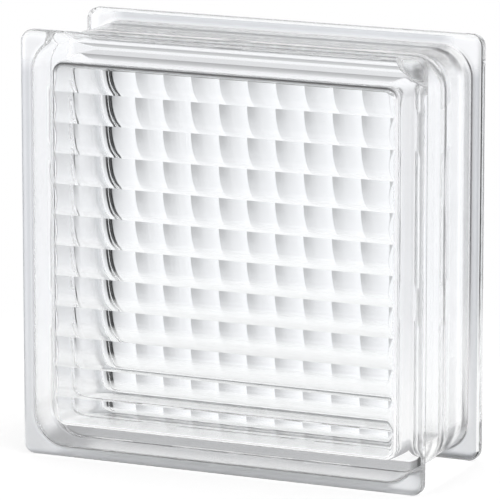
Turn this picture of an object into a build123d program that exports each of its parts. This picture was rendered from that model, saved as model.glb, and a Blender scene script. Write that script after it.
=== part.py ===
from build123d import *
import math
import os

# A hollow pressed-glass wall block, standing on its lower rim with its front face towards -Y.
# It is made like the real one: two equal pans with a fluted inside, one of them turned a quarter
# turn, welded together at mid-depth round a sealed air space.

# Outside of the block
FACE_SIZE = 196.85          # side of the square front and back faces
BLOCK_DEPTH = 79.375        # from the front face to the back face
RIM_THICKNESS = 8.5         # thickness of the rim that stands out round each face
RIM_CORNER_RADIUS = 5.5     # corners of the square outline
FACE_EDGE_RADIUS = 5.0      # soft round between a face and the rim edge
SHOULDER_RADIUS = 1.8       # round where the rim turns down into the mortar channel

# Mortar channel round the edge, between the two rims
CHANNEL_DEPTH = 4.8         # from the rim edge down to the channel floor
CHANNEL_CORNER_RADIUS = 15.0
CHANNEL_FOOT_RADIUS = 2.4   # fillet between the channel floor and the rim

# Weld seam, a low bead round the middle of the channel floor
SEAM_WIDTH = 3.6
SEAM_HEIGHT = 0.6           # from the channel floor to the crown of the bead

# Air space inside, half of it pressed into each pan
WALL_THICKNESS = 8.125      # glass between the air space and the channel floor, at the seam
CAVITY_DRAFT_ANGLE = 2.0    # degrees that the side walls lean in towards each face
CAVITY_FLOOR_RADIUS = 5.0   # fillet between the side walls and the plate of the face
CORNER_CLEARANCE = 0.8      # upright corners are this much rounder at their foot than that fillet
PLATE_THICKNESS = 8.0       # glass left at the deepest line of a flute
FLOOR_DROP = 0.3            # plain floor of the pocket lies this far under the flutes, which cut it off

# Flutes inside each plate: hollow arcs side by side that meet in sharp ridges
FLUTE_COUNT = 12
FLUTE_DEPTH = 1.5           # from the ridges down to the deepest line
FLUTE_MARGIN = 0.6          # from the row of flutes to the side of the air space, at the seam

# Tool overruns, which leave no mark on the finished block
SEAM_ROOT_OVERRUN = 1.0     # bead reaches this far into the wall
FLUTE_END_OVERRUN = 20.0    # flute tool runs past the pocket walls
FLUTE_TOP_OVERRUN = 5.0     # flute tool stands past the seam plane
FLAT_TOLERANCE = 0.001      # how near to a height an edge counts as lying at it

PAN_DEPTH = BLOCK_DEPTH / 2
CHANNEL_SIZE = FACE_SIZE - 2 * CHANNEL_DEPTH
CAVITY_SIZE = CHANNEL_SIZE - 2 * WALL_THICKNESS
FLUTE_PITCH = (CAVITY_SIZE - 2 * FLUTE_MARGIN) / FLUTE_COUNT
POCKET_FLOOR = PLATE_THICKNESS - FLOOR_DROP
DRAFT_INSET = (PAN_DEPTH - POCKET_FLOOR) * math.tan(math.radians(CAVITY_DRAFT_ANGLE))
CAVITY_CORNER_RADIUS = CAVITY_FLOOR_RADIUS + CORNER_CLEARANCE + DRAFT_INSET


def square_slab(side, corner_radius, low, high):
    """A slab with a square outline and rounded corners, from height low to height high."""
    outline = RectangleRounded(side, side, corner_radius)
    return Pos(0, 0, low) * extrude(outline, amount=high - low)


def edges_at(shape, height):
    """All the edges of a shape that lie flat at one height."""
    return shape.edges().filter_by_position(Axis.Z, height - FLAT_TOLERANCE, height + FLAT_TOLERANCE)


def rim_slab():
    """One rim with its face at height zero, rounded towards the face and towards the channel."""
    slab = square_slab(FACE_SIZE, RIM_CORNER_RADIUS, 0, RIM_THICKNESS)
    slab = fillet(edges_at(slab, 0), FACE_EDGE_RADIUS)
    return fillet(edges_at(slab, RIM_THICKNESS), SHOULDER_RADIUS)


def pan_outside():
    """One pan without its pocket: a rim, and the channel wall up to the seam plane."""
    wall = square_slab(CHANNEL_SIZE, CHANNEL_CORNER_RADIUS, RIM_THICKNESS / 2, PAN_DEPTH)
    pan = rim_slab() + wall
    foot = []
    for edge in edges_at(pan, RIM_THICKNESS):
        reach = max(abs(edge.center().X), abs(edge.center().Y))
        if reach < CHANNEL_SIZE / 2 + SHOULDER_RADIUS / 2:
            foot.append(edge)
    return fillet(foot, CHANNEL_FOOT_RADIUS)


def flute_tool():
    """The space over the fluted plate: its underside is a row of arcs that run along X."""
    ridge = PLATE_THICKNESS + FLUTE_DEPTH
    top = PAN_DEPTH + FLUTE_TOP_OVERRUN
    row_half = FLUTE_COUNT * FLUTE_PITCH / 2
    end = row_half + FLUTE_END_OVERRUN
    lines = [Line((-end, ridge), (-row_half, ridge))]
    for number in range(FLUTE_COUNT):
        left = -row_half + number * FLUTE_PITCH
        middle = left + FLUTE_PITCH / 2
        right = left + FLUTE_PITCH
        lines.append(ThreePointArc((left, ridge), (middle, PLATE_THICKNESS), (right, ridge)))
    lines.append(Line((row_half, ridge), (end, ridge)))
    lines.append(Polyline((end, ridge), (end, top), (-end, top), (-end, ridge)))
    section = make_face(Curve(children=lines).edges())
    return Plane.YZ * Pos(0, 0, -end) * extrude(section, amount=2 * end)


def pan_pocket():
    """The air space pressed into one pan, from its fluted plate up to the seam plane."""
    mouth = RectangleRounded(CAVITY_SIZE, CAVITY_SIZE, CAVITY_CORNER_RADIUS)
    pocket = extrude(mouth, amount=PAN_DEPTH - POCKET_FLOOR, taper=CAVITY_DRAFT_ANGLE)
    pocket = Pos(0, 0, PAN_DEPTH) * Rot(180, 0, 0) * pocket
    pocket = fillet(edges_at(pocket, POCKET_FLOOR), CAVITY_FLOOR_RADIUS)
    return pocket & flute_tool()


def seam_bead():
    """The weld round the channel floor: an arc in section, carried along four sides and corners."""
    half = SEAM_WIDTH / 2
    straight_half = CHANNEL_SIZE / 2 - CHANNEL_CORNER_RADIUS
    crown = ThreePointArc((0, -half), (SEAM_HEIGHT, 0), (0, half))
    root = Polyline((0, half), (-SEAM_ROOT_OVERRUN, half), (-SEAM_ROOT_OVERRUN, -half), (0, -half))
    section = make_face(Curve(children=[crown, root]).edges())
    side_place = Plane((CHANNEL_SIZE / 2, straight_half, PAN_DEPTH), x_dir=(1, 0, 0), z_dir=(0, -1, 0))
    side = side_place * extrude(section, amount=2 * straight_half)
    corner_axis = Axis((straight_half, straight_half, 0), (0, 0, 1))
    corner = revolve(side_place * section, corner_axis, 90)
    bead = side + corner
    for quarter in (1, 2, 3):
        bead += Rot(0, 0, 90 * quarter) * (side + corner)
    return bead


# Each pan is drawn lying on its face. The front pan is stood up with its flutes level, and the
# back pan faces it with its flutes upright.
middle_height = FACE_SIZE / 2
front_place = Plane((0, -PAN_DEPTH, middle_height), x_dir=(1, 0, 0), z_dir=(0, 1, 0))
back_place = Plane((0, PAN_DEPTH, middle_height), x_dir=(0, 0, 1), z_dir=(0, -1, 0))

outside = pan_outside()
pocket = pan_pocket()
glass = front_place * outside + back_place * outside + front_place * seam_bead()
air = front_place * pocket + back_place * pocket
glass_block = glass - air

os.makedirs("parts", exist_ok=True)
export_step(glass_block, "parts/glass_block.step")
print("glass volume in cubic centimetres", glass_block.volume / CM**3)
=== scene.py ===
# %% [markdown]
# # A hollow glass block
# A glass block is two pressed pans of clear glass, welded face to face round a sealed air space.
# The CAD model gives it its exact sizes. What it can't give is the look, because glass shows every
# facet of a coarse mesh as a kink in what is seen through it. So this lesson loads the CAD model as
# a fixed frame, and then draws the same skin again as smooth surfaces.

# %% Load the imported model
import math
import bpy
import numpy as np
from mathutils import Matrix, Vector


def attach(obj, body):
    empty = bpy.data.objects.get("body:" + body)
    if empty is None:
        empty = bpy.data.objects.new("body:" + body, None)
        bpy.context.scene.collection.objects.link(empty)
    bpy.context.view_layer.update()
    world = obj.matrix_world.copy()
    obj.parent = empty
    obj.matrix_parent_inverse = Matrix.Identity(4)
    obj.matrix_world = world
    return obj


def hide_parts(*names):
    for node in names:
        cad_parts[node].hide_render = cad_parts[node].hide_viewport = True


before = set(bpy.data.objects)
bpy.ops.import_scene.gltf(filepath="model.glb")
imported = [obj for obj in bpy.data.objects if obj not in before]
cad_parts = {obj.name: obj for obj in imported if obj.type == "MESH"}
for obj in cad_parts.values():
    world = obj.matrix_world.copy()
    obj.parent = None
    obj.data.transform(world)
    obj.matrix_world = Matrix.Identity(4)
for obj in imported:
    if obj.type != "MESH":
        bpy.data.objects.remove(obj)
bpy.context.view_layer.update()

# %% [markdown]
# ## The sizes
# These are the sizes of the CAD model, in metres. The skin is worked out from them, so that it lies
# where the solid does. Only the weld bead is made uneven.

# %% Sizes of the block
MM = 0.001
face_size = 196.85 * MM
block_depth = 79.375 * MM
rim_thickness = 8.5 * MM
rim_corner_radius = 5.5 * MM
face_edge_radius = 5.0 * MM
shoulder_radius = 1.8 * MM
channel_depth = 4.8 * MM
channel_corner_radius = 15.0 * MM
channel_foot_radius = 2.4 * MM
seam_half_width = 1.8 * MM
seam_height = 0.6 * MM
cavity_size = 171.0 * MM
cavity_slope = math.tan(math.radians(2.0))
cavity_floor_radius = 5.0 * MM
corner_clearance = 0.8 * MM
plate_thickness = 8.0 * MM
floor_drop = 0.3 * MM
flute_count = 12
flute_pitch = 14.15 * MM
flute_depth = 1.5 * MM

half_face = face_size / 2
pan_depth = block_depth / 2
pocket_floor = plate_thickness - floor_drop
cavity_corner_radius = cavity_floor_radius + corner_clearance + (pan_depth - pocket_floor) * cavity_slope
print("half face", half_face, "pan depth", pan_depth)

# %% [markdown]
# ## Rings and rounded squares
# Every level of this block is a square with rounded corners. One helper takes the points of a plain
# square grid and bends those near a corner onto the corner's arc. The other walks round the rounded
# square itself, with its points spread evenly over each side and each corner. The side of the square
# and the corner's radius may differ from point to point, so a whole stack of rings is one call.

# %% Helpers for rounded squares
straight_points = 56
corner_points = 16
ring_points = 4 * (straight_points + corner_points)
never_zero = 1e-9


def bend_corners(across, up, half, radius):
    """Points on square rings, moved onto rings with rounded corners.

    On a ring of half side h and corner radius r, a point stays where its shorter coordinate is under
    h - r. Past that it goes onto the arc: the share of r that it has used up, times 45 degrees, is its
    angle from the straight side."""
    long_way = np.abs(across) >= np.abs(up)
    short = np.where(long_way, np.abs(up), np.abs(across))
    flat = half - radius
    share = np.clip((short - flat) / np.maximum(radius, never_zero), 0.0, 1.0)
    angle = share * math.pi / 4
    far = flat + radius * np.cos(angle)
    near = np.where(short > flat, flat + radius * np.sin(angle), short)
    return (np.sign(across) * np.where(long_way, far, near),
            np.sign(up) * np.where(long_way, near, far))


def rounded_square(half, radius):
    """Rings of points round squares with rounded corners, counter-clockwise from the lower side. half
    and radius have one row a ring and one column a point. A straight side is a share of half - radius
    to each side of its middle, and a corner is an arc about the point half - radius along both ways."""
    corner_angle = np.linspace(0, math.pi / 2, corner_points + 2)[1:-1]
    share = np.concatenate([np.linspace(-1, 1, straight_points), np.ones(corner_points)])
    angle = np.concatenate([np.zeros(straight_points), corner_angle])
    share = np.tile(share, 4)
    angle = np.tile(angle, 4)
    flat = half - radius
    along = share * flat + radius * np.sin(angle)
    out = flat + radius * np.cos(angle)
    turn = np.repeat(np.arange(4), straight_points + corner_points) * math.pi / 2
    cosine = np.round(np.cos(turn))
    sine = np.round(np.sin(turn))
    return along * cosine + out * sine, along * sine - out * cosine


print("points of a ring:", ring_points)

# %% [markdown]
# ## The outer skin
# Seen in section, the outside runs from the middle of the face over a soft edge, along the rim, round
# its shoulder and down into the mortar channel, up to the seam. This profile is carried round the
# square. Beside each place where a flat meets a curve there is one more ring, close by, so that the
# shading of the curve doesn't leak into the flat.

# %% Profile of one pan's outside
close = 0.06 * MM
edge_rings = 15
shoulder_rings = 9
face_shares = np.array([0.02, 0.3, 0.6, 0.85, 0.97])
floor_rows = np.array([18 * MM, 26 * MM, 33 * MM])


def outside_profile():
    """Half side, corner radius and depth below the face for each ring of one pan, from the middle of
    the face to the foot of the seam. Rounds are quarter circles: sine along one way, cosine along the
    other, and the corner radius grows or shrinks with the half side."""
    quarter = np.radians(np.linspace(0, 90, edge_rings))
    turn = np.radians(np.linspace(0, 90, shoulder_rings))
    face_half = half_face - face_edge_radius
    face = np.concatenate([face_half * face_shares, [face_half - close]])
    face_corner = (rim_corner_radius - face_edge_radius) * face / face_half
    edge = face_edge_radius * np.sin(quarter)
    drop = face_edge_radius * (1 - np.cos(quarter))
    land = np.array([face_edge_radius + close, rim_thickness - shoulder_radius - close])
    shoulder = shoulder_radius * (np.cos(turn) - 1)
    foot = channel_foot_radius * (1 - np.sin(turn))
    parts = [
        (face, face_corner, 0 * face),
        (face_half + edge, rim_corner_radius - face_edge_radius + edge, drop),
        (half_face + 0 * land, rim_corner_radius + 0 * land, land),
        (half_face + shoulder, rim_corner_radius + shoulder,
         rim_thickness - shoulder_radius + shoulder_radius * np.sin(turn)),
        (half_face - channel_depth + foot, channel_corner_radius + foot,
         rim_thickness + channel_foot_radius * (1 - np.cos(turn))),
    ]
    floor_depth = np.concatenate([[rim_thickness + channel_foot_radius + close], floor_rows])
    floor_half = half_face - channel_depth + 0 * floor_depth
    parts.append((floor_half, channel_corner_radius + 0 * floor_depth, floor_depth))
    return [np.concatenate(column) for column in zip(*parts)]


profile_half, profile_corner, profile_depth = outside_profile()
print("rings of one pan's outside:", len(profile_half))

# %% [markdown]
# ## The seam
# Where the two pans were welded, the hot glass left a low bead round the middle of the channel. It
# isn't a machined line: it swells and narrows along its way. A few sine waves of unlike lengths make
# that unevenness, the same in every run.

# %% Bead of the weld
weld_waves = [(0.5, 7, 0.4), (0.33, 17, 1.9), (0.17, 41, 4.0)]
bead_wander_share = 0.35
height_lag = 2.0
bead_rings = 15
bead_sharpness = 1.2


def weld_unevenness(angle):
    """A slow wander between about -1 and 1 round the block. Each wave is a share, times the sine of its
    number of swings times the angle, plus its start; the waves are added up."""
    return sum(share * np.sin(swings * angle + start) for share, swings, start in weld_waves)


walk_across, walk_up = rounded_square(np.full((1, ring_points), half_face), channel_corner_radius)
walk_angle = np.arctan2(walk_up, walk_across)[0]
bead_width = seam_half_width * (1 + bead_wander_share * weld_unevenness(walk_angle))
bead_height = seam_height * (1 + bead_wander_share * weld_unevenness(walk_angle + height_lag))
bead_share = np.linspace(-1, 1, bead_rings)
bead_rise = np.cos(bead_share * math.pi / 2) ** bead_sharpness
print("bead height in mm: from", round(bead_height.min() / MM, 2), "to", round(bead_height.max() / MM, 2))


# %% Carry the profile round the block
def outer_skin():
    """Vertices of all the rings from the front face to the back face. The rings of the front pan come
    first, then those of the bead, then the front pan's rings again, mirrored, for the back pan."""
    every = np.ones(ring_points)
    half = np.concatenate([profile_half, profile_half[::-1]])[:, None] * every
    corner = np.concatenate([profile_corner, profile_corner[::-1]])[:, None] * every
    depth = np.concatenate([profile_depth - pan_depth, pan_depth - profile_depth[::-1]])[:, None] * every
    rise = bead_rise[:, None] * bead_height
    middle = [len(profile_half)] * len(bead_share)
    half = np.insert(half, middle, half_face - channel_depth + rise, axis=0)
    corner = np.insert(corner, middle, channel_corner_radius + rise, axis=0)
    depth = np.insert(depth, middle, bead_share[:, None] * bead_width, axis=0)
    across, up = rounded_square(half, corner)
    return np.stack([across, depth, up + half_face], axis=-1)


outer_rings = outer_skin()
print("outer rings and points a ring:", outer_rings.shape[:2])

# %% [markdown]
# ## The inner skin
# The plunger that pressed each pan left a pocket with leaning sides, a round at the foot of the walls,
# and a row of hollow flutes across the plate. The flutes are cut off by that round, so the height of
# the glass at any point is simply the higher of two surfaces: the plain pocket, and the row of arcs.
# The grid's lines follow the flutes, so that each sharp ridge is a line of the mesh.

# %% Lines of the grid, from the middle of the plate to the foot of the wall
flute_lines = 12
last_flute_lines = 8
round_lines = 17


def pocket_lines():
    """Half side, corner radius and height over the face for each square line of the plain pocket.

    The floor is flat up to the round. The round is an arc of the floor radius that starts level and
    ends along the leaning wall. The corner radius shrinks with the half side."""
    lean = math.atan(cavity_slope)
    wall_half = cavity_size / 2 - (pan_depth - pocket_floor) * cavity_slope
    wall_corner = cavity_corner_radius - (pan_depth - pocket_floor) * cavity_slope
    centre = wall_half + cavity_floor_radius * (cavity_slope - 1 / math.cos(lean))
    whole = int(centre // flute_pitch)
    last = np.linspace(whole * flute_pitch, centre, last_flute_lines + 1)[:-1]
    flat = np.concatenate([np.arange(whole * flute_lines) * flute_pitch / flute_lines, last])
    angle = np.linspace(-math.pi / 2, -lean, round_lines)
    bend = centre + cavity_floor_radius * np.cos(angle)
    half = np.concatenate([flat, bend])
    corner = np.maximum(wall_corner - (wall_half - half), 0.0)
    rise = cavity_floor_radius * (1 + np.sin(angle))
    height = np.concatenate([0 * flat + pocket_floor, pocket_floor + rise])
    return half, corner, height


line_half, line_corner, line_height = pocket_lines()
print("lines from the middle of a plate to its wall:", len(line_half))


# %% Heights of one fluted plate
def flute_height(offset):
    """Height of the fluted glass over the face. Each flute is an arc of one circle, deepest in its
    middle; the circle's radius follows from the chord (the pitch) and the depth."""
    radius = (flute_pitch ** 2 / 4 + flute_depth ** 2) / (2 * flute_depth)
    row_half = flute_count * flute_pitch / 2
    local = np.mod(offset + row_half, flute_pitch) - flute_pitch / 2
    arc = plate_thickness + radius - np.sqrt(radius ** 2 - local ** 2)
    return np.where(np.abs(offset) < row_half, arc, plate_thickness + flute_depth)


def fluted_plate():
    """A square grid of points over one plate, as across, along and height over the face, with the
    flutes running along the second of them. The lines of the grid are those of the pocket, out to
    both sides of the middle."""
    place = np.concatenate([-line_half[:0:-1], line_half])
    index = np.concatenate([np.arange(len(line_half))[:0:-1], np.arange(len(line_half))])
    ring = np.maximum(index[:, None], index[None, :])
    across, along = np.meshgrid(place, place, indexing="ij")
    across, along = bend_corners(across, along, line_half[ring], line_corner[ring])
    return across, along, np.maximum(line_height[ring], flute_height(across))


plate_across, plate_along, plate_height = fluted_plate()
print("fluted plate grid:", plate_across.shape)

# %% Walls of the air space
wall_shares = np.array([0.12, 0.3, 0.55, 0.8, 0.94, 0.985, 1.0])


def border_walk(grid):
    """The values on the border of a square grid, in one closed walk."""
    return np.concatenate([grid[:-1, 0], grid[-1, :-1], grid[:0:-1, -1], grid[0, :0:-1]])


def cavity_walls():
    """Rings between the two plates, as across, up and depth. Every ring is a rounded square whose half
    side and corner radius grow with the distance from the nearer face."""
    height = line_height[-1] + wall_shares * (pan_depth - line_height[-1])
    half = cavity_size / 2 - (pan_depth - height) * cavity_slope
    corner = cavity_corner_radius - (pan_depth - height) * cavity_slope
    depth = np.concatenate([height - pan_depth, (pan_depth - height)[-2::-1]])
    half = np.concatenate([half, half[-2::-1]])[:, None]
    corner = np.concatenate([corner, corner[-2::-1]])[:, None]
    unit = np.concatenate([-line_half[:0:-1], line_half]) / line_half[-1]
    first, second = np.meshgrid(unit, unit, indexing="ij")
    across, up = bend_corners(border_walk(first) * half, border_walk(second) * half, half, corner)
    return across, up, depth[:, None] * np.ones_like(across)


wall_across, wall_up, wall_depth = cavity_walls()
print("wall rings and points a ring:", wall_across.shape)

# %% [markdown]
# ## One closed mesh
# Glass is a solid between two skins, so both go into one mesh: the outer one faces outwards, and the
# inner one faces into the air space, away from the glass. The volume between them is worked out and
# printed, and it should come out close to that of the CAD solid. The uneven bead, and facets where the
# solid has true arcs, leave a small difference.

# %% Faces
film_overlap_share = 0.1


def strip_faces(index):
    """Quads between neighbours of a grid of vertex numbers."""
    corners = [index[:-1, :-1], index[1:, :-1], index[1:, 1:], index[:-1, 1:]]
    return np.stack(corners, axis=-1).reshape(-1, 4)


def closed(index):
    """The same grid with its first column repeated at its end, for rings."""
    return np.concatenate([index, index[:, :1]], axis=1)


ring_count = len(outer_rings)
outer_index = np.arange(ring_count * ring_points).reshape(ring_count, ring_points)
outer_quads = strip_faces(closed(outer_index))
film_start = rim_thickness - film_overlap_share * shoulder_radius
first_channel_row = int(np.argmax(profile_depth > film_start))
channel_rows = np.zeros(ring_count - 1, bool)
channel_rows[first_channel_row:ring_count - 1 - first_channel_row] = True
in_channel = np.repeat(channel_rows, ring_points)
print("outer quads:", len(outer_quads), "of them in the channel:", int(in_channel.sum()))

# %% Put both skins together
plate_points = plate_across.size
side = plate_across.shape[0]
front_plate = np.stack([plate_along, plate_height - pan_depth, plate_across + half_face], axis=-1)
back_plate = np.stack([plate_across, pan_depth - plate_height, plate_along + half_face], axis=-1)
walls = np.stack([wall_across, wall_depth, wall_up + half_face], axis=-1)

start_front = outer_rings.shape[0] * ring_points
start_back = start_front + plate_points
start_walls = start_back + plate_points
start_poles = start_walls + walls.shape[0] * walls.shape[1]
front_index = start_front + np.arange(plate_points).reshape(side, side)
back_index = start_back + np.arange(plate_points).reshape(side, side)
wall_index = start_walls + np.arange(walls.shape[0] * walls.shape[1]).reshape(walls.shape[:2])
rings = np.concatenate([border_walk(front_index.T)[None], wall_index, border_walk(back_index)[None]])
poles = np.array([[0, -pan_depth, half_face], [0, pan_depth, half_face]])

skins = [outer_rings, front_plate, back_plate, walls, poles]
vertices = np.concatenate([skin.reshape(-1, 3) for skin in skins])
front_quads = strip_faces(front_index)
back_quads = strip_faces(back_index)
wall_quads = strip_faces(closed(rings)[::-1])
inner_quads = np.concatenate([front_quads, back_quads, wall_quads])
after = np.roll(outer_index, -1, axis=1)
front_fan = np.stack([np.full(ring_points, start_poles), outer_index[0], after[0]], axis=-1)
back_fan = np.stack([np.full(ring_points, start_poles + 1), after[-1], outer_index[-1]], axis=-1)
print("vertices:", len(vertices))


# %% Volumes of the skins
def signed_volume(faces):
    """Volume inside a closed set of faces, positive where they face outwards: the sum of the little
    pyramids from the origin to each triangle."""
    fans = [faces[:, [0, k, k + 1]] for k in range(1, faces.shape[1] - 1)]
    corners = vertices[np.concatenate(fans)]
    return np.einsum("ij,ij->i", corners[:, 0], np.cross(corners[:, 1], corners[:, 2])).sum() / 6


outer_volume = signed_volume(outer_quads) + signed_volume(front_fan) + signed_volume(back_fan)
air_volume = -signed_volume(inner_quads)
glass_volume = outer_volume - air_volume
print("cubic centimetres of air:", round(air_volume * 1e6, 2), "of glass:", round(glass_volume * 1e6, 2))

# %% Make the mesh
sharp_angle = math.radians(24)
glass_mesh = bpy.data.meshes.new("block_skin")
all_quads = np.concatenate([outer_quads, inner_quads])
all_fans = np.concatenate([front_fan, back_fan])
loops = np.concatenate([all_quads.ravel(), all_fans.ravel()])
quad_starts = np.arange(len(all_quads)) * 4
fan_starts = all_quads.size + np.arange(len(all_fans)) * 3
starts = np.concatenate([quad_starts, fan_starts])
glass_mesh.vertices.add(len(vertices))
glass_mesh.vertices.foreach_set("co", vertices.ravel())
glass_mesh.loops.add(len(loops))
glass_mesh.loops.foreach_set("vertex_index", loops.astype(np.int32))
glass_mesh.polygons.add(len(starts))
glass_mesh.polygons.foreach_set("loop_start", starts.astype(np.int32))
finish_number = np.zeros(len(starts), np.int32)
finish_number[:len(outer_quads)] = in_channel
glass_mesh.polygons.foreach_set("material_index", finish_number)
glass_mesh.update(calc_edges=True)
glass_mesh.validate()
glass_mesh.polygons.foreach_set("use_smooth", np.ones(len(starts), bool))
glass_mesh.set_sharp_from_angle(angle=sharp_angle)
block_skin = bpy.data.objects.new("block_skin", glass_mesh)
bpy.context.scene.collection.objects.link(block_skin)
glass_mesh.calc_loop_triangles()
print("triangles of the skin:", len(glass_mesh.loop_triangles))

# %% [markdown]
# ## Helpers for the finishes
# A finish is a small network of nodes. Each helper adds one node to it, gives its inputs plain values
# or the outputs of other nodes, and returns its output, so that a finish reads from top to bottom.


# %% Helpers for the finishes
def new_finish(name):
    """An empty finish: the material, its node tree and its shader."""
    material = bpy.data.materials.new(name)
    material.use_nodes = True
    return material, material.node_tree, material.node_tree.nodes["Principled BSDF"]


def put(tree, socket, value):
    """Give a socket a plain value, or link it to the output of another node."""
    if isinstance(value, bpy.types.NodeSocket):
        tree.links.new(value, socket)
    else:
        socket.default_value = value


def add_node(tree, kind, values):
    """A new node of a tree, with its inputs given by name."""
    node = tree.nodes.new(kind)
    for name, value in values.items():
        put(tree, node.inputs[name], value)
    return node


def add_math(tree, operation, first, second):
    """One step of arithmetic on two values."""
    node = tree.nodes.new("ShaderNodeMath")
    node.operation = operation
    put(tree, node.inputs[0], first)
    put(tree, node.inputs[1], second)
    return node.outputs[0]


def add_range(tree, value, start, end, low, high):
    """A value that runs from start to end, moved to run from low to high and held there."""
    values = {"Value": value, "From Min": start, "From Max": end, "To Min": low, "To Max": high}
    return add_node(tree, "ShaderNodeMapRange", values).outputs["Result"]


def add_tint(tree, share, first, second):
    """A colour between two others, by a share from 0 to 1."""
    values = {"Fac": share, "Color1": first, "Color2": second}
    return add_node(tree, "ShaderNodeMixRGB", values).outputs["Color"]


def add_noise(tree, scale, detail, stretch):
    """Soft random values between 0 and 1, laid out in the piece's own coordinates. A stretch under 1
    draws the spots out along that axis."""
    place = add_node(tree, "ShaderNodeTexCoord", {})
    spread = add_node(tree, "ShaderNodeMapping", {"Vector": place.outputs["Object"], "Scale": stretch})
    values = {"Vector": spread.outputs["Vector"], "Scale": scale, "Detail": detail}
    return add_node(tree, "ShaderNodeTexNoise", values).outputs["Fac"]


def add_bump(tree, height, distance):
    """The normal of a surface that rises by a distance in metres where the height is 1."""
    values = {"Strength": 1.0, "Distance": distance, "Height": height}
    return add_node(tree, "ShaderNodeBump", values).outputs["Normal"]


def own_place(tree):
    """The piece's own X, Y and Z as three outputs."""
    place = add_node(tree, "ShaderNodeTexCoord", {})
    apart = tree.nodes.new("ShaderNodeSeparateXYZ")
    tree.links.new(place.outputs["Object"], apart.inputs[0])
    return apart.outputs


even = (1.0, 1.0, 1.0)
print("noise that isn't drawn out has the stretch", even)

# %% [markdown]
# ## Clear pressed glass
# Soda-lime glass bends light with an index of about 1.52 and takes very little colour out of it. Its
# fire-polished surface isn't quite flat: slow ripples from the mould stay in it. They go into the
# shader as a bump, two hundredths of a millimetre high. Faint cords in the melt change its colour by
# a hair, in streaks that are drawn out upwards and through the block.

# %% Clear glass
glass_index = 1.52
clearest_glass = (0.990, 0.993, 0.994, 1)
corded_glass = (0.972, 0.982, 0.986, 1)
cord_scale = 14.0
cord_stretch = (1.0, 0.4, 0.25)
ripple_scale = 55.0
ripple_height = 0.02 * MM


def clear_glass():
    """A see-through shader. Soft noise bends its surface, and stretched noise tints it in cords."""
    material, tree, shader = new_finish("clear_pressed_glass")
    cords = add_noise(tree, cord_scale, 3.0, cord_stretch)
    ripple = add_noise(tree, ripple_scale, 2.0, even)
    shader.inputs["Roughness"].default_value = 0.0
    shader.inputs["IOR"].default_value = glass_index
    shader.inputs["Transmission Weight"].default_value = 1.0
    put(tree, shader.inputs["Base Color"], add_tint(tree, cords, clearest_glass, corded_glass))
    put(tree, shader.inputs["Normal"], add_bump(tree, ripple, ripple_height))
    return material


glass_mesh.materials.append(clear_glass())
print("first finish:", glass_mesh.materials[0].name)

# %% [markdown]
# ## The film in the mortar channel
# Mortar grips bare glass badly, so many blocks get a thin milky film round their edge, and this one is
# taken to have it. It lets light in but scatters it: from outside the channel looks plain and pale,
# and from the front the rims look soft and grey, partly because the film shows in them and partly
# because of painted shade. A rough see-through shader does that. On the sides of the rims, which face
# into the channel, the film is painted a darker grey as painted shade, and it is rougher there. On the
# channel floor and in the upper corners it is left pale. It is uneven, so its tone and its roughness
# wander a little.

# %% Milky film
plain_film = [(1.0, 1.0, 1.0, 1), (0.980, 0.984, 0.990, 1)]
# Painted shade: the darker greys of the film on the sides of the rims, which face into the channel.
shaded_film = [(0.63, 0.645, 0.67, 1), (0.55, 0.565, 0.59, 1)]
film_roughness = (0.14, 0.26)
rim_side_dullness = 0.2
film_clearness = 0.96
spot_scale = 60.0
peel_scale = 900.0
peel_height = 0.004 * MM


def channel_film():
    """A rough see-through shader. Its share of painted shade goes from 0 at the end of the channel floor
    to 1 at the side of a rim, by the distance from the seam, and back to 0 in the upper corners, by the
    smaller of the distances across and up from the middle. Colour and roughness follow it, each with
    noise: the colour turns to a darker grey, which is painted shade, and the roughness rises."""
    material, tree, shader = new_finish("milky_channel_film")
    rim_side = pan_depth - rim_thickness
    channel_end = rim_side - channel_foot_radius
    corner_start = half_face - channel_depth - channel_corner_radius
    corner_middle = corner_start + channel_corner_radius / 2
    place = own_place(tree)
    from_seam = add_math(tree, "ABSOLUTE", place["Y"], 0.0)
    across = add_math(tree, "ABSOLUTE", place["X"], 0.0)
    up = add_math(tree, "SUBTRACT", place["Z"], half_face)
    into_corner = add_math(tree, "MINIMUM", across, up)
    toward_rim_side = add_range(tree, from_seam, channel_end, rim_side, 0.0, 1.0)
    out_of_corner = add_range(tree, into_corner, corner_start, corner_middle, 1.0, 0.0)
    # Share of painted shade: 1 on the sides of the rims, 0 on the channel floor and in the upper corners.
    shade_and_dullness = add_math(tree, "MULTIPLY", toward_rim_side, out_of_corner)
    spots = add_noise(tree, spot_scale, 3.0, even)
    peel = add_noise(tree, peel_scale, 1.0, even)
    plain_tone = add_tint(tree, spots, *plain_film)
    # The darker greys here are painted shade on the sides of the rims.
    shaded_tone = add_tint(tree, spots, *shaded_film)
    dull = add_math(tree, "MULTIPLY", shade_and_dullness, rim_side_dullness)
    roughness = add_math(tree, "ADD", add_range(tree, spots, 0, 1, *film_roughness), dull)
    shader.inputs["IOR"].default_value = glass_index
    shader.inputs["Transmission Weight"].default_value = film_clearness
    put(tree, shader.inputs["Base Color"], add_tint(tree, shade_and_dullness, plain_tone, shaded_tone))
    put(tree, shader.inputs["Roughness"], roughness)
    put(tree, shader.inputs["Normal"], add_bump(tree, peel, peel_height))
    return material


glass_mesh.materials.append(channel_film())
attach(block_skin, "root")
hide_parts("glass_block")
print("second finish:", glass_mesh.materials[1].name, "on", int(in_channel.sum()), "faces")

# %% [markdown]
# ## The floor
# The block stands on a sheet of white paper that runs out into the white surroundings, so the sheet
# fades away with the distance from the block. Part of its brightness is plain paper, which takes the
# shadow. The other part is a glow, which keeps the sheet pale. Under the block the glow is stronger,
# in place of the light that glass gathers there. Its strength was set by comparing renders with the
# picture.

# %% White paper
paper_reach = 6.0
paper_tones = [(0.40, 0.40, 0.40, 1), (0.42, 0.42, 0.42, 1)]
grain_scale = 400.0
glow_under_block = 0.95
glow_around = 0.65
glow_edge_share = 0.9
fade_start = 0.12
fade_end = 0.32

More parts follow.
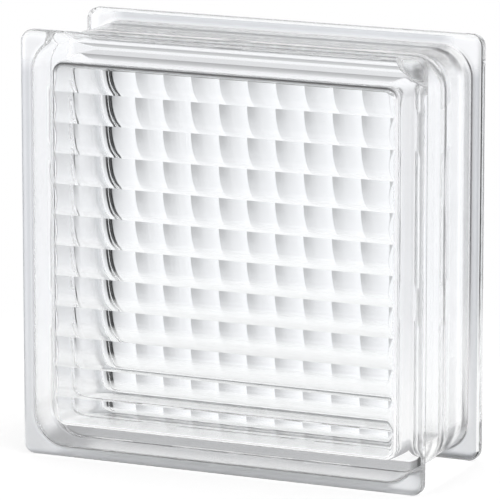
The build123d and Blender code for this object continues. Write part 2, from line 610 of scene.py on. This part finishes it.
paper_corners = [(-1, -1, 0), (1, -1, 0), (1, 1, 0), (-1, 1, 0)]
floor_mesh = bpy.data.meshes.new("floor")
floor_mesh.from_pydata((np.array(paper_corners) * paper_reach).tolist(), [], [(0, 1, 2, 3)])
floor = bpy.data.objects.new("floor", floor_mesh)
bpy.context.scene.collection.objects.link(floor)


def seen_rays(tree):
    """1 for rays from the camera, straight or by way of the glass, and 0 for rays that gather light."""
    path = tree.nodes.new("ShaderNodeLightPath").outputs
    by_glass = add_math(tree, "MAXIMUM", path["Is Glossy Ray"], path["Is Transmission Ray"])
    return add_math(tree, "MAXIMUM", by_glass, path["Is Camera Ray"])


def white_paper():
    """Matt paper with a glow. The footprint's reach is 1 on its border: the larger of the two distances
    from the middle, each over the half side. The paper fades out between two distances."""
    material, tree, shader = new_finish("white_paper")
    place = own_place(tree)
    across = add_math(tree, "DIVIDE", add_math(tree, "ABSOLUTE", place["X"], 0.0), half_face)
    along = add_math(tree, "DIVIDE", add_math(tree, "ABSOLUTE", place["Y"], 0.0), pan_depth)
    reach = add_math(tree, "MAXIMUM", across, along)
    glow = add_range(tree, reach, glow_edge_share, 1.0, glow_under_block, glow_around)
    glow = add_math(tree, "MULTIPLY", glow, seen_rays(tree))
    square = add_math(tree, "POWER", place["X"], 2.0)
    square = add_math(tree, "ADD", square, add_math(tree, "POWER", place["Y"], 2.0))
    away = add_math(tree, "SQRT", square, 0.0)
    grain = add_noise(tree, grain_scale, 2.0, even)
    shader.inputs["Roughness"].default_value = 0.9
    shader.inputs["Specular IOR Level"].default_value = 0.0
    shader.inputs["Emission Color"].default_value = (1, 1, 1, 1)
    put(tree, shader.inputs["Base Color"], add_tint(tree, grain, *paper_tones))
    put(tree, shader.inputs["Emission Strength"], glow)
    put(tree, shader.inputs["Alpha"], add_range(tree, away, fade_start, fade_end, 1.0, 0.0))
    return material


floor_mesh.materials.append(white_paper())
print("floor:", floor_mesh.materials[0].name)

# %% [markdown]
# ## What the glass sees
# Clear glass has no look of its own: it shows its surroundings, bent. So they are built like a light
# tent. Its back wall is white, but falls off to both sides, and each flute spreads the left slope into
# one column of the pattern, from grey to white. Further left stands a narrow dark panel, which draws
# the fine dark lines along the rounded edges. The roof and the side of the camera are dim, so that the
# top and the front of the rims don't turn white. All this is only for rays that went through the glass
# or came off it. To the camera the tent is plain white, and so is the light that falls on the paper.
#
# Each slope is a list of places with a grey. A bearing is in degrees from straight behind the block,
# minus to the left. A height runs from -1, straight down, to 1, straight up, and the camera's side
# lies at -1 on the way from front to back. The greys were set by comparing renders with the picture.

# %% Slopes of the light tent
wall_shade = [(-68, 0.0), (-54, 0.75), (-44, 0.63), (-38, 0.57), (-34, 0.51), (-30, 0.37), (-26, 0.23),
              (-21, 0.13), (-15, 0.04), (-10, 0.0), (15, 0.0), (35, 0.12), (60, 0.25), (80, 0.05)]
wall_shade_height = [(-0.5, 0.05), (-0.42, 0.2), (-0.33, 0.4), (-0.18, 0.54), (-0.08, 0.82), (0.03, 1.0)]
panel_bearing = [(-76, 1.0), (-73, 0.0), (-51, 0.0), (-49, 1.0)]
panel_height = [(-0.62, 1.0), (-0.5, 0.0), (0.75, 0.0), (0.85, 1.0)]
roof_height = [(0.03, 1.0), (0.12, 0.75), (0.3, 0.5), (0.6, 0.35), (0.9, 0.15)]
camera_side = [(-0.9, 0.0), (-0.75, 0.2), (-0.55, 0.9), (-0.4, 1.0)]
tent_level = 1.15
tent_colour = (0.975, 0.98, 1.0, 1)
print("places on the slope of the back wall:", len(wall_shade))


# %% Light tent
def curve_of(tree, value, low, high, points):
    """Greys along a line of (place, grey) points, for a value that runs from low to high."""
    ramp = add_node(tree, "ShaderNodeValToRGB", {"Fac": add_range(tree, value, low, high, 0.0, 1.0)})
    ramp.color_ramp.interpolation = "LINEAR"
    while len(ramp.color_ramp.elements) < len(points):
        ramp.color_ramp.elements.new(0.5)
    for element, (place, grey) in zip(ramp.color_ramp.elements, points):
        element.position = (place - low) / (high - low)
        element.color = (grey, grey, grey, 1)
    return ramp.outputs["Color"]


def light_tent():
    """A world whose grey is the level, less the wall's shade, times what the other slopes leave of it.
    The bearing is the arctangent of X over Y, in degrees."""
    world = bpy.data.worlds.new("light_tent")
    world.use_nodes = True
    tree = world.node_tree
    tree.nodes.clear()
    place = tree.nodes.new("ShaderNodeTexCoord")
    way = tree.nodes.new("ShaderNodeSeparateXYZ")
    tree.links.new(place.outputs["Generated"], way.inputs[0])
    east, north, height = way.outputs
    turn = add_math(tree, "ARCTAN2", east, north)
    bearing = add_math(tree, "MULTIPLY", turn, 180 / math.pi)
    shade = curve_of(tree, bearing, -180, 180, wall_shade)
    shade = add_math(tree, "MULTIPLY", shade, curve_of(tree, height, -1, 1, wall_shade_height))
    panel = curve_of(tree, bearing, -180, 180, panel_bearing)
    panel = add_math(tree, "MAXIMUM", panel, curve_of(tree, height, -1, 1, panel_height))
    tent = add_math(tree, "SUBTRACT", tent_level, shade)
    tent = add_math(tree, "MULTIPLY", tent, panel)
    tent = add_math(tree, "MULTIPLY", tent, curve_of(tree, height, -1, 1, roof_height))
    tent = add_math(tree, "MULTIPLY", tent, curve_of(tree, north, -1, 1, camera_side))
    cool = add_node(tree, "ShaderNodeMixRGB", {"Fac": 1.0, "Color1": tent, "Color2": tent_colour})
    cool.blend_type = "MULTIPLY"
    path = tree.nodes.new("ShaderNodeLightPath").outputs
    by_glass = add_math(tree, "MAXIMUM", path["Is Glossy Ray"], path["Is Transmission Ray"])
    seen = add_tint(tree, by_glass, (1, 1, 1, 1), cool.outputs["Color"])
    sky = add_node(tree, "ShaderNodeBackground", {"Color": seen, "Strength": 1.0})
    add_node(tree, "ShaderNodeOutputWorld", {"Surface": sky.outputs["Background"]})
    return world


bpy.context.scene.world = light_tent()
print("world:", bpy.context.scene.world.name)

# %% [markdown]
# ## One soft lamp
# The tent lights the block from all round. One large softbox on the right, a little in front, gives
# the light a side to come from, so the faint shadow that it throws on the paper falls to the left.

# %% Softbox
lamp_data = bpy.data.lights.new("right_softbox", "AREA")
lamp_data.energy = 12
lamp_data.size = 1.2
lamp = bpy.data.objects.new("right_softbox", lamp_data)
lamp.location = (1.6, -0.6, 1.2)
lamp.rotation_euler = (math.radians(55), 0, math.radians(70))
bpy.context.scene.collection.objects.link(lamp)
print("softbox:", lamp_data.energy, "watts")

# %% [markdown]
# ## The camera
# A long lens from a little to the right and a little above. The lens and the place of the camera were
# worked out from the edges of the block in the picture, so the lens and the middle of the block are
# given in pixels of a 500-pixel image.

# %% Camera
image_pixels = 500
focal_pixels = 4969.0
centre_pixel = (252.7, 245.8)
camera_azimuth = 24.05
camera_elevation = 12.01
camera_distance = 11.44 * face_size
sensor_width = 36.0


def camera_at(azimuth, elevation, distance):
    """A camera on a sphere round the block's middle. It looks at the middle, and its image is shifted
    so that the middle lies on the centre pixel. The lens is to the sensor's width as the focal length
    in pixels is to the image."""
    turn = math.radians(azimuth)
    rise = math.radians(elevation)
    back = Vector((math.sin(turn) * math.cos(rise), -math.cos(turn) * math.cos(rise), math.sin(rise)))
    data = bpy.data.cameras.new("camera")
    data.sensor_width = sensor_width
    data.lens = sensor_width * focal_pixels / image_pixels
    data.shift_x = (image_pixels / 2 - centre_pixel[0]) / image_pixels
    data.shift_y = (centre_pixel[1] - image_pixels / 2) / image_pixels
    camera = bpy.data.objects.new("camera", data)
    camera.location = Vector((0, 0, half_face)) + back * distance
    camera.rotation_euler = back.to_track_quat("Z", "Y").to_euler()
    bpy.context.scene.collection.objects.link(camera)
    return camera


scene = bpy.context.scene
scene.camera = camera_at(camera_azimuth, camera_elevation, camera_distance)
print("camera at", [round(v, 3) for v in scene.camera.location])
print("lens in mm:", round(scene.camera.data.lens, 1))

# %% [markdown]
# ## Light through many skins
# A ray meets four skins on its way through the middle of the block, and many more where it is caught
# in a rim. If it is given up too early, the corners of the rims turn dark.

# %% Bounces and view
skins_to_meet = 24
scene.view_settings.view_transform = "Standard"
scene.cycles.max_bounces = skins_to_meet
scene.cycles.transmission_bounces = skins_to_meet
scene.cycles.glossy_bounces = skins_to_meet
scene.cycles.diffuse_bounces = 4
print("skins that a ray may meet:", scene.cycles.max_bounces)
